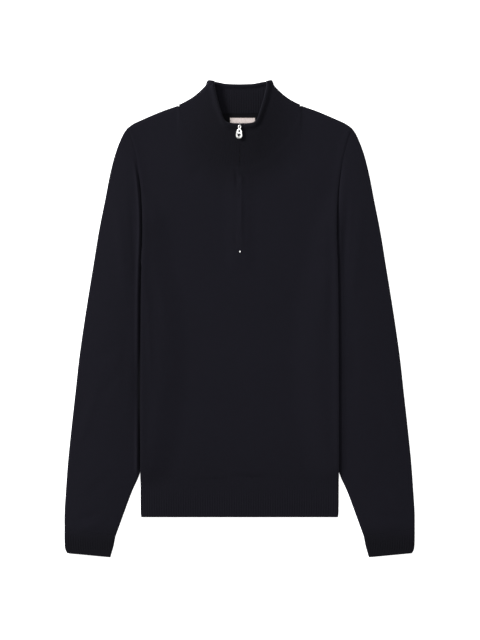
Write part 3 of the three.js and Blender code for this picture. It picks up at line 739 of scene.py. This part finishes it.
@dataclass
class Sleeves:
    """Both sleeves with their ribbed cuffs: flattened tubes, ring after ring."""

    finishes: Finishes
    wall: float = 1.4
    flat: float = 3.8
    cuff_wall: float = 1.6
    cuff_flat: float = 4.6
    fold_radius: float = 3.6
    rib_pitch: float = 4.0
    rib_height: float = 0.45

    def section(self, rings: list[tuple], v: float, u: float, flat: float, side: Side,
                ribbed: bool) -> Vector:
        """Point of a tube at u round its section and v along it.

        Args:
            rings: Ring table of the tube.
            v: Place along the tube.
            u: From -1 at the outer fold over the top to 0 at the inner fold, and back below to 1.
            flat: Height of the flattened tube at its sides.
            side: Side of the wearer.
            ribbed: Whether the top carries ribs.

        Returns:
            The point, in millimetres.
        """
        outer_x, outer_y, inner_x, inner_y, bow, crown, shown = Pattern.ring(rings, v)
        upper = u <= 0
        half = (u + 1) if upper else (1 - u)
        t = half if ribbed else 0.5 - 0.5 * math.cos(math.pi * half)
        a, b = Vector((outer_x, outer_y)), Vector((inner_x, inner_y))
        bend = a.lerp(b, 0.5) + Pattern.armhole_bow * bow
        plan = a * (1 - t) ** 2 + bend * (2 * t * (1 - t)) + b * t * t
        width = (a - b).length
        fold = clamp(min(t, 1 - t) * width / self.fold_radius)
        round_off = math.sqrt(max(0.0, 1 - (1 - fold) ** 2))
        z = flat / 2 * (1 + round_off if upper else 1 - round_off)
        if upper:
            z += crown * math.sin(math.pi * min(t / shown, 1)) * fold
            z += sum(crease.at(plan.x, plan.y) for crease in SLEEVE_CREASES) * fold
            z -= self.tuck(plan, side) * fold
            if ribbed:
                cord = abs(math.sin(math.pi * t * width / self.rib_pitch))
                z += self.rib_height * cord * fold * smoothstep(v, 0, 0.3)
            z = max(z, flat / 2)
        elif not ribbed:
            z += (self.wall + 0.05) * (1 - smoothstep(v, 0.17, 0.27)) * smoothstep(t, 0.7, 0.9)
        return Vector((side.value * plan.x, plan.y, z))

    def tuck(self, plan: Vector, side: Side) -> float:
        """Depth of the groove where the sleeve passes below the body's edge; the wearer's left is wider."""
        if plan.y > 275 or plan.y < -262:
            return 0.0
        away = plan.x - Pattern.half_width(plan.y)
        ends = smoothstep(plan.y, -262, -240) * (1 - smoothstep(plan.y, 215, 275))
        if side is Side.LEFT:
            high = smoothstep(plan.y, 130, 200)
            rise = 1.5 * bell(away - 4.5, 4.8) * (1 - high)
            return ends * (high * (1.5 * bell(away - 1.2, 2.0) - 0.3 * bell(away - 9, 4)) - rise)
        low = bell(plan.y + 112, 62)
        valley = 1.7 * low * bell(away - 2, 12)
        return ends * (valley + 2.1 * bell(away - 1.3, 2.0) - 1.9 * (1 - 0.85 * low) * bell(away - 5.8, 2.6))

    def make(self, side: Side) -> None:
        """Makes one sleeve and its cuff: grids wrapped round the sections of their tubes."""
        jersey, rib = self.finishes.jersey, self.finishes.rib
        for part, rings, flat, grid, finish, slot, wall, cut in [
            ("sleeve", Pattern.sleeve_rings, self.flat, (196, 130), jersey, Slot.JERSEY, self.wall,
             {"flat": (0.33, 0.69), "area": 0.165}),
            ("cuff", Pattern.cuff_rings, self.cuff_flat, (320, 16), rib, Slot.RIB, self.cuff_wall,
             {"flat": (0.16, 0.04)}),
        ]:
            ribbed = slot is Slot.RIB
            bm = Workshop.sheet_grid(*grid, lambda u, v: self.section(rings, v, u, flat, side, ribbed))
            Workshop.close_tube(bm)
            Workshop.cloth(f"{part}_{side.word}", bm, finish, slot, wall, **cut)


@dataclass
class LinkedSeams:
    """Linked seams that join sleeves, ribs and collar to the panels, each a low cord of knit."""

    finishes: Finishes
    armhole_z: float = 2.2
    grid: tuple[int, int] = (12, 140)

    def cord(self, name: str, path: list[Vector], radius: float) -> None:
        """Lays one seam.

        Args:
            name: Name of the seam.
            path: Middle of the seam, in millimetres.
            radius: Half of its width.
        """
        def place(u: float, v: float) -> Vector:
            """Point round the seam at u and along it at v."""
            middle = point_along(path, v)
            run = point_along(path, min(v + 0.01, 1)) - point_along(path, max(v - 0.01, 0))
            out = run.cross(Vector((0, 0, 1))).normalized()
            thin = radius * (1 - 0.7 * bell(v - 1, 0.02) - 0.7 * bell(v, 0.02))
            ring = out * math.cos(math.pi * u) + Vector((0, 0, 0.85)) * math.sin(math.pi * u)
            return middle + ring * thin

        bm = Workshop.sheet_grid(*self.grid, place)
        Workshop.close_tube(bm)
        bmesh.ops.holes_fill(bm, edges=[edge for edge in bm.edges if edge.is_boundary], sides=0)
        seam = Workshop.piece(name, bm, self.finishes.jersey)
        Workshop.rig(seam, Slot.JERSEY)

    def make(self) -> None:
        """Lays every seam, and the allowances that close the gaps beside the sleeves."""
        tip, bend, under = Pattern.shoulder_tip, Pattern.armhole_bend, Pattern.underarm
        for side in Side:
            armhole = []
            for t in [k / 30 for k in range(31)]:
                p = tip * (1 - t) ** 2 + bend * (2 * t * (1 - t)) + under * t * t
                z = self.armhole_z + Pattern.body_lift(p.x, p.y)
                armhole.append(Vector((side.value * (p.x + 0.2 - 1.4 * t), p.y, z)))
            self.cord(f"armhole_seam_{side.word}", armhole, 1.25)
            for name, top, step, count, inset, height, radius in [
                ("side_seam", under.y, 10, 43, 1.2, lambda lift: lift + 2.1, 1.15),
                ("side_allowance", 186, 10, 50, 2.5, lambda lift: max(1.2, lift - 0.25), 1.25),
                ("armhole_allowance", 192, 6, 19, 0.6, lambda lift: 1.75, 1.7),
            ]:
                spots = [(Pattern.half_width(y) - inset, y) for y in [top - step * k for k in range(count)]]
                path = [Vector((side.value * x, y, height(Pattern.body_lift(x, y)))) for x, y in spots]
                self.cord(f"{name}_{side.word}", path, radius)
            xs = [1.0 + k * 3.3 for k in range(31)]
            neck = [Vector((side.value * x, smooth_read(Pattern.front_neck, x) + 0.1, 4.1)) for x in xs]
            self.cord(f"front_neck_seam_{side.word}", neck, 0.75)
        xs = [k * 3.3 for k in range(-30, 31)]
        back = [Vector((x, smooth_read(Pattern.back_neck, abs(x)) + 0.1, 1.0)) for x in xs]
        self.cord("back_neck_seam", back, 0.9)


@dataclass
class Collar:
    """The doubled stand-up collar: one ribbed band, folded over at its top edge."""

    finishes: Finishes
    seam_z: float = 3.95
    seam_gap: float = -0.6
    lift: float = 8.3
    half_wall: float = 1.15
    rim: float = 2.8
    lean: float = 1.4
    rim_steps: int = 10
    back_z: float = 1.3
    rib_height: float = 0.55
    slit: float = 0.05
    front_ribs: int = 33
    back_ribs: int = 10
    per_rib: int = 8
    fold_steps: int = 12
    fan_steps: int = 10
    rows: tuple[float, ...] = (*[k / 12 for k in range(10)], 0.8, 0.84, 0.88, 0.92, 0.96, 1)
    foot: Vector = field(default_factory=lambda: Vector((100.6, 353.8)))
    peak: Vector = field(default_factory=lambda: Vector((51.3, 392.4)))
    side_bow: Vector = field(default_factory=lambda: Vector((-3.2, -4.1)))
    front_edge: Table = ((0, 320.8), (12, 321), (22, 323), (28, 329.5), (31.4, 339), (37, 357), (42.6, 380))
    back_edge: Table = ((0, 386.2), (22, 387), (36, 389.6), (44.5, 391))

    def front_z(self, h: float) -> float:
        """Height of the band's middle in front, h up from the seam."""
        return self.seam_z + self.lift * h ** 1.45

    def radius(self, h: float) -> float:
        """Radius of the side fold."""
        return (self.front_z(h) - self.back_z) / 2

    def fold_start(self, h: float) -> Vector:
        """Where the side fold begins in plan, from seam to edge."""
        seam = self.foot - Vector((0.5, 0.87)) * (self.radius(0) + self.half_wall)
        edge = self.peak - Vector((0.98, 0.2)) * (self.radius(1) + self.rim)
        return seam.lerp(edge, h)

    def bow(self, h: float, share: float) -> Vector:
        """How far the hollow side fold lies inside the straight line from foot to peak."""
        return self.side_bow * (4 * h * (1 - h) * share)

    def seam_line(self, front: bool) -> list[Vector]:
        """The neckline, where the band is linked just below the panel's edge."""
        table = Pattern.front_neck if front else Pattern.back_neck
        xs = [k * 3.0 for k in range(34)]
        line = [Vector((x - 0.15 * (x > 0), smooth_read(table, x) + self.seam_gap)) for x in xs]
        return [*line, self.fold_start(0)]

    def columns(self) -> list[tuple[list[Vector], float, float]]:
        """Columns of one half, from the zip to the centre back.

        Returns:
            For each column its points from seam to edge, its rib in front and its rib behind.
        """
        seam, edge = self.seam_line(True), smooth_line([*self.front_edge, tuple(self.fold_start(1))])
        made = []
        count = self.front_ribs * self.per_rib
        for k in range(count + 1):
            t = k / count
            a, b = point_along(seam, t), point_along(edge, t)
            rib = 0.28 * abs(math.sin(math.pi * k / self.per_rib)) * smoothstep(k, 8, 14)
            points = [Vector((*(a.lerp(b, h) + self.bow(h, t ** 3)), self.front_z(h))) for h in self.rows]
            if k == 0:
                points = [Vector((self.slit + 0.6 * bell(p.y - 268, 8), p.y, p.z)) for p in points]
            made.append((points, rib, 0.0))
        for k in range(1, self.fold_steps):
            turn = math.pi * k / self.fold_steps
            points = []
            for h in self.rows:
                start = self.fold_start(h)
                reach = self.foot.lerp(self.peak, h) - start
                out = math.sin(turn) * (1 - self.half_wall / reach.length)
                plan = start + reach * out + self.bow(h, 1)
                points.append(Vector((*plan, self.back_z + self.radius(h) * (1 + math.cos(turn)))))
            made.append((points, 0.0, 0.0))
        return made + self.back_columns()

    def back_columns(self) -> list[tuple[list[Vector], float, float]]:
        """Columns behind the neck, from the side fold to the centre back."""
        made = []
        upright = self.back_ribs * self.per_rib
        for k in range(upright + self.fan_steps, -1, -1):
            fan = clamp((k - upright) / self.fan_steps)
            x = 4.0 * min(k, upright) / self.per_rib
            low, high = self.fold_start(0), self.fold_start(1)
            seam, edge = Vector((lerp(x, low.x, fan), 0)), Vector((lerp(x, high.x, fan), 0))
            seam.y = lerp(smooth_read(Pattern.back_neck, seam.x) + self.seam_gap, low.y, fan ** 3)
            edge.y = lerp(smooth_read(self.back_edge, edge.x), high.y, fan ** 3)
            points = [Vector((*(seam.lerp(edge, h) + self.bow(h, fan)), self.back_z)) for h in self.rows]
            made.append((points, 0.0, 0.6 * abs(math.sin(math.pi * k / self.per_rib)) * (1 - fan)))
        return made

    def leaned(self, point: Vector, side: int) -> Vector:
        """Point on one side of the collar, whose opening leans a little to the wearer's left."""
        lean = self.lean * clamp((point.z - self.seam_z) / self.lift)
        return Vector((side * point.x + lean, point.y, point.z))

    def wall_at(self, h: float) -> float:
        """Half of the band's thickness: a valley below the rolled bead of the folded edge."""
        seam = self.half_wall - 0.4 * (1 - smoothstep(h, 0, 0.2))
        return seam - 0.5 * bell(h - 0.82, 0.07) + (self.rim - self.half_wall) * smoothstep(h, 0.86, 0.96)

    def make(self) -> None:
        """Wraps a grid round the band's section: outer face, rolled top edge, inner face and seam."""
        left, right = [
            [([self.leaned(p, side.value) for p in points], *ribs) for points, *ribs in self.columns()]
            for side in Side
        ]
        band = left + right[-2::-1]
        last = len(self.rows) - 1
        around = 2 * last + self.rim_steps + 1

        def at(j: int, i: int) -> Vector:
            """Middle of the band, held inside its grid."""
            return band[int(clamp(j, 0, len(band) - 1))][0][int(clamp(i, 0, last))]

        def place(u: float, v: float) -> Vector:
            """Point on the doubled band."""
            j = round((u + 1) / 2 * (len(band) - 1))
            step = round(v * around) % around
            turn = clamp((step - last) / self.rim_steps) * math.pi
            i = step if step <= last else max(0, min(last, around - 1 - step))
            up = (at(j, i + 1) - at(j, i - 1)).normalized()
            face = (at(j + 1, i) - at(j - 1, i)).cross(up).normalized()
            _, front, back = band[j]
            relief = (front if math.cos(turn) > 0 else back) * self.rib_height * abs(math.cos(turn))
            relief *= 1 - 0.7 * smoothstep(self.rows[i], 0.8, 1)
            out = face * math.cos(turn) + up * math.sin(turn)
            sink = up * (-0.6 * self.rim * smoothstep(self.rows[i], 0.86, 1.0))
            return at(j, i) + out * (self.wall_at(self.rows[i]) + relief) + sink

        bm = Workshop.sheet_grid(len(band) - 1, around, place)
        for vert in bm.verts:
            vert.co.z = max(vert.co.z, 0.02 * MM)
        bmesh.ops.remove_doubles(bm, verts=bm.verts, dist=0.01 * MM)
        ends = [edge for edge in bm.edges if edge.is_boundary]
        bmesh.ops.holes_fill(bm, edges=ends, sides=0)
        bmesh.ops.recalc_face_normals(bm, faces=bm.faces)
        collar = Workshop.piece("collar_knit", bm, self.finishes.rib)
        Workshop.crisp(collar)
        Workshop.rig(collar, Slot.RIB, "collar")


@dataclass
class Zip:
    """Tapes, coil, slider, pull tab and bottom stop."""

    finishes: Finishes
    coil_pitch: float = 1.5
    coil_reach: tuple[float, float] = (114, 310)
    stop_place: Triple = (0.6, 111, 5.3)
    bridge_radius: float = 2.3
    bridge_hole: float = 1.25
    slider_y: float = 317.6
    turn: float = math.radians(-4)
    hinge_height: float = 2.6
    slope: float = math.atan2(2.01, 13.96)
    surface_z: float = 13.313

    @property
    def head(self) -> Matrix:
        """Frame of the slider: y up the zip, z out of the collar, in millimetres."""
        turn = Matrix.Rotation(self.slope, 4, "X") @ Matrix.Rotation(self.turn, 4, "Z")
        return Matrix.Translation((0, self.slider_y, self.surface_z)) @ turn

    def plate(self, name: str, outline: list[Vector], holes: list[list[Vector]], thickness: float,
              bevel: float) -> Shape:
        """A flat plate with rounded edges, from an outline and its holes.

        Args:
            name: Name of the working curve.
            outline: Points of the outline in millimetres.
            holes: Outlines of the holes.
            thickness: Full thickness.
            bevel: Radius of the rounded edges.

        Returns:
            The plate about z 0, in millimetres.
        """
        curve = bpy.data.curves.new(name, "CURVE")
        curve.dimensions = "2D"
        curve.fill_mode = "BOTH"
        curve.extrude = thickness / 2 - bevel
        curve.bevel_depth = bevel
        curve.bevel_resolution = 3
        curve.offset = -bevel
        for ring in [outline, *holes]:
            spline = curve.splines.new("POLY")
            spline.points.add(len(ring) - 1)
            spline.use_cyclic_u = True
            for point, place in zip(spline.points, ring):
                point.co = (place.x, place.y, 0, 1)
        holder = bpy.data.objects.new(name, curve)
        bpy.context.scene.collection.objects.link(holder)
        solid = bpy.data.meshes.new_from_object(holder.evaluated_get(bpy.context.evaluated_depsgraph_get()))
        bm = bmesh.new()
        bm.from_mesh(solid)
        bpy.data.objects.remove(holder)
        bpy.data.curves.remove(curve)
        bpy.data.meshes.remove(solid)
        bmesh.ops.remove_doubles(bm, verts=bm.verts, dist=0.004)
        bmesh.ops.recalc_face_normals(bm, faces=bm.faces)
        return bm

    @staticmethod
    def arc(x: float, y: float, radius: float, start: float, end: float, steps: int,
            squeeze: float = 1) -> list[Vector]:
        """Points of a round or squeezed arc, both ends included.

        Args:
            x: Centre.
            y: Centre.
            radius: Half of its length along y.
            start: First angle in half turns.
            end: Last angle in half turns.
            steps: Number of straight stretches.
            squeeze: Width as a share of the length.

        Returns:
            The points, in millimetres.
        """
        turns = [math.pi * lerp(start, end, k / steps) for k in range(steps + 1)]
        return [Vector((x + radius * squeeze * math.cos(a), y + radius * math.sin(a))) for a in turns]

    @classmethod
    def rounded(cls, width: float, length: float, centre_y: float, corner: float) -> list[Vector]:
        """Points of a rectangle with round corners."""
        points = []
        for k, (sx, sy) in enumerate([(1, 1), (-1, 1), (-1, -1), (1, -1)]):
            x, y = sx * (width / 2 - corner), centre_y + sy * (length / 2 - corner)
            points += cls.arc(x, y, corner, k / 2, (k + 1) / 2, 6)
        return points

    @staticmethod
    def merge(target: Shape, part: Shape, matrix: Matrix) -> None:
        """Moves a part by a matrix and adds it to a shape."""
        bmesh.ops.transform(part, matrix=matrix, verts=part.verts)
        mesh = bpy.data.meshes.new("part")
        part.to_mesh(mesh)
        part.free()
        target.from_mesh(mesh)
        bpy.data.meshes.remove(mesh)

    def finish_metal(self, name: str, bm: Shape, node: str, body: str = "sweater",
                     material: Material | None = None) -> None:
        """Places a metal piece given in the slider's frame and rigs it."""
        bmesh.ops.transform(bm, matrix=IN_MM @ self.head, verts=bm.verts)
        obj = Workshop.piece(name, bm, material or self.finishes.metal)
        Workshop.crisp(obj, 50)
        Workshop.rig(obj, Slot.METAL, node, body)

    def make_slider(self) -> None:
        """Slider: back plate behind the cloth, post, front plate and the bridge over the hinge."""
        bm = bmesh.new()
        for name, outline, thickness, bevel, z in [
            ("back", self.rounded(7, 7, -0.2, 1.6), 2, 0.35, -4.0),
            ("post", self.rounded(0.7, 4.4, 0, 0.3), 4.2, 0.05, -1.2),
            ("front", self.rounded(4.4, 7.4, 1, 1.4), 1, 0.25, 0.8),
        ]:
            self.merge(bm, self.plate(name, outline, [], thickness, bevel), Matrix.Translation((0, 0, z)))
        self.finish_metal("zip_slider_body", bm, "zip_slider", material=self.finishes.enamel)
        bm = bmesh.new()
        height, outer, inner = self.hinge_height, self.bridge_radius, self.bridge_hole
        foot = [Vector(spot) for spot in [(3.4, 2.9), (4.6, 2.0), (5.1, 1.4), (5.1, 1.0)]]
        arch = [Vector((-outer, 1.0)), *self.arc(0, height, outer, 1, 1 / 3, 16), *foot]
        hole = [Vector((-inner, 1.3)), Vector((inner, 1.3)), *self.arc(0, height, inner, 0, 1, 12)]
        up_zip = Matrix(((0, 0, 1, 0), (1, 0, 0, 0), (0, 1, 0, 0), (0, 0, 0, 1)))
        self.merge(bm, self.plate("bridge", arch, [hole], 1.2, 0.2), up_zip)
        self.finish_metal("zip_slider_bridge", bm, "zip_slider")

    def make_puller(self) -> None:
        """Teardrop pull tab with its slot, oval and round hole."""
        right = [
            (0, 0.85), (2, 0.1), (2.8, -1.6), (2.5, -3.2), (1.9, -4.3), (2.9, -5.8), (4.2, -8.2),
            (4.9, -11.6), (5.35, -15.6), (4.5, -18.9), (2.7, -20.6), (0, -21.1),
        ]
        loop = [*right, *[(-x, y) for x, y in right[-2:0:-1]]]
        steps = 6
        outline = smooth_line([*loop[-1:], *loop, *loop[:2]], steps)[steps:-steps - 1]
        half, top, low = 1.1, -0.75, -2.2
        slot = [Vector((half, top)), Vector((-half, top)), *self.arc(0, low, half, 1, 2, 12)]
        oval = self.arc(0, -8.9, 1.8, 0, 2, 28, 1.1 / 1.8)[:-1]
        ring = self.arc(0, -15.4, 2.3, 0, 2, 40)[:-1]
        bm = self.plate("tab", outline, [slot, oval, ring], 1.4, 0.32)
        bmesh.ops.transform(bm, matrix=Matrix.Translation((0, 0, self.hinge_height)), verts=bm.verts)
        self.finish_metal("pull_tab_metal", bm, "zip_puller", "pull_tab")

    def make_stop(self) -> None:
        """Bottom stop: a small bent clip over the foot of the zip."""
        bm = self.plate("stop", self.rounded(1.9, 2.9, 0, 0.6), [], 0.9, 0.25)
        bmesh.ops.transform(bm, matrix=IN_MM @ Matrix.Translation(self.stop_place), verts=bm.verts)
        stop = Workshop.piece("zip_stop_metal", bm, self.finishes.metal)
        Workshop.rig(stop, Slot.METAL, "zip_bottom_stop")

    def depth(self, y: float) -> float:
        """Height of the coil along the zip, just inside the cloth's edges."""
        neck_y = Pattern.front_neck[0][1]
        h = max(0.0, (y - neck_y) / (Pattern.collar_top_y - neck_y))
        return 3.3 + 8.0 * h ** 1.3

    def make_coil(self) -> None:
        """Coil of the zip: a row of small loops in the slit, alternating sides."""
        bm = bmesh.new()
        start, end = self.coil_reach
        shape = Matrix.Diagonal((1.5, 0.9, 0.7, 1))
        for k in range(int((end - start) / self.coil_pitch)):
            y = start + k * self.coil_pitch
            tilt = Matrix.Rotation(0.25 * (1 if k % 2 else -1), 4, "Z")
            where = IN_MM @ Matrix.Translation((0, y, self.depth(y)))
            bmesh.ops.create_icosphere(bm, subdivisions=1, radius=0.5, matrix=where @ tilt @ shape)
        Workshop.rig(Workshop.piece("zip_coil", bm, self.finishes.tape), Slot.TAPE)

    def dress_tapes(self) -> None:
        """Gives both tapes their woven finish."""
        for side in Side:
            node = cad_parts[f"zip_tape_{side.word}"]
            node.data.materials.clear()
            node.data.materials.append(self.finishes.tape)

    def make(self) -> None:
        """Makes every piece of the zip."""
        self.dress_tapes()
        self.make_coil()
        self.make_slider()
        self.make_puller()
        self.make_stop()


@dataclass
class NeckLabel:
    """Plain woven label at the back of the neck, with its sewing."""

    finishes: Finishes
    left: float = -15.8
    right: float = 25.4
    bottom: float = 316.8
    top: float = 331.5
    base: float = 2.9
    wall: float = 0.7
    stitches: int = 15
    grid: tuple[int, int] = (110, 40)

    def make(self) -> None:
        """Makes the label and the stitches along its top."""
        def place(u: float, v: float) -> Vector:
            """Point of the label's face, gently buckled between its stitches."""
            x, y = lerp(self.left, self.right, (u + 1) / 2), lerp(self.bottom, self.top, v)
            wave = 0.18 * math.sin(x * 0.42) * (1 - v) + 0.1 * math.sin(x * 0.9 + y)
            hem = 0.25 * bell(min(x - self.left, self.right - x) - 1.0, 0.8)
            return Vector((x, y, self.base + wave + hem))

        bm = Workshop.sheet_grid(*self.grid, place)
        Workshop.face_up(bm)
        cut = {"flat": (0.0424, 0.016), "rests_on": ["back_panel_knit"]}
        Workshop.cloth("neck_label", bm, self.finishes.label, Slot.LABEL, self.wall, **cut)
        self.make_stitches()

    def make_stitches(self) -> None:
        """Row of small stitches along the label's top edge."""
        bm = bmesh.new()
        shape = Matrix.Diagonal((1.9, 0.45, 0.45, 1))
        for k in range(self.stitches):
            x = lerp(self.left + 1.4, self.right - 1.4, k / (self.stitches - 1))
            where = IN_MM @ Matrix.Translation((x, self.top - 0.9, self.base + 0.15))
            bmesh.ops.create_icosphere(bm, subdivisions=2, radius=0.5, matrix=where @ shape)
        Workshop.rig(Workshop.piece("label_stitches", bm, self.finishes.thread), Slot.LABEL)


@dataclass
class Studio:
    """Camera, floor and soft light of the photograph."""

    scale: float = 1.65
    centre: tuple[float, float] = (0.66, -1.65)
    frame_height: float = 640.0
    distance: float = 3.2
    floor_size: float = 30
    floor_drop: float = 0.4

    def make(self) -> None:
        """Sets up the view from straight above."""
        scene = bpy.context.scene
        scene.view_settings.view_transform = "Standard"
        camera = bpy.data.cameras.new("camera")
        camera.sensor_width = 36
        camera.lens = camera.sensor_width * self.distance / (self.frame_height * self.scale * MM)
        camera.clip_end = 50
        holder = bpy.data.objects.new("camera", camera)
        holder.location = (self.centre[0] * MM, self.centre[1] * MM, self.distance)
        scene.collection.objects.link(holder)
        scene.camera = holder
        self.make_floor()
        self.make_lights()

    def make_floor(self) -> None:
        """A plain white floor."""
        bm = bmesh.new()
        bmesh.ops.create_grid(bm, x_segments=1, y_segments=1, size=self.floor_size)
        bmesh.ops.translate(bm, verts=bm.verts, vec=(0, 0, -self.floor_drop * MM))
        paint = NodePaint("white_floor")
        paint.preset(paint.shader, {
            "Base Color": (0.93, 0.93, 0.93, 1), "Roughness": 0.9,
            "Emission Color": (1, 1, 1, 1), "Emission Strength": 0.7,
        })
        floor = Workshop.piece("floor", bm, paint.material)

    def make_lights(self) -> None:
        """White surroundings and one soft key light from the upper left."""
        world = bpy.data.worlds.new("studio")
        world.use_nodes = True
        NodePaint.preset(world.node_tree.nodes["Background"], {"Color": (1, 1, 1, 1), "Strength": 0.45})
        bpy.context.scene.world = world
        for name, place, power, size in [
            ("key", (-3.3, 2.3, 2.2), 330, 1.1),
            ("overhead", (0.3, 0.6, 4.2), 70, 2.6),
        ]:
            light = bpy.data.lights.new(name, "AREA")
            light.energy = power
            light.size = size
            holder = bpy.data.objects.new(name, light)
            holder.location = place
            holder.rotation_euler = (-Vector(place)).to_track_quat("-Z", "Y").to_euler()
            bpy.context.scene.collection.objects.link(holder)


def main() -> None:
    """Builds the sweater piece by piece."""
    logging.basicConfig(level=logging.INFO, format="%(message)s")
    Studio().make()
    finishes = Finishes()
    body = BodyPanels(finishes)
    body.make_back()
    body.make_front()
    for front in (False, True):
        body.make_hem(front)
    sleeves = Sleeves(finishes)
    for side in Side:
        sleeves.make(side)
    LinkedSeams(finishes).make()
    Collar(finishes).make()
    Zip(finishes).make()
    NeckLabel(finishes).make()


if __name__ == "__main__":
    main()
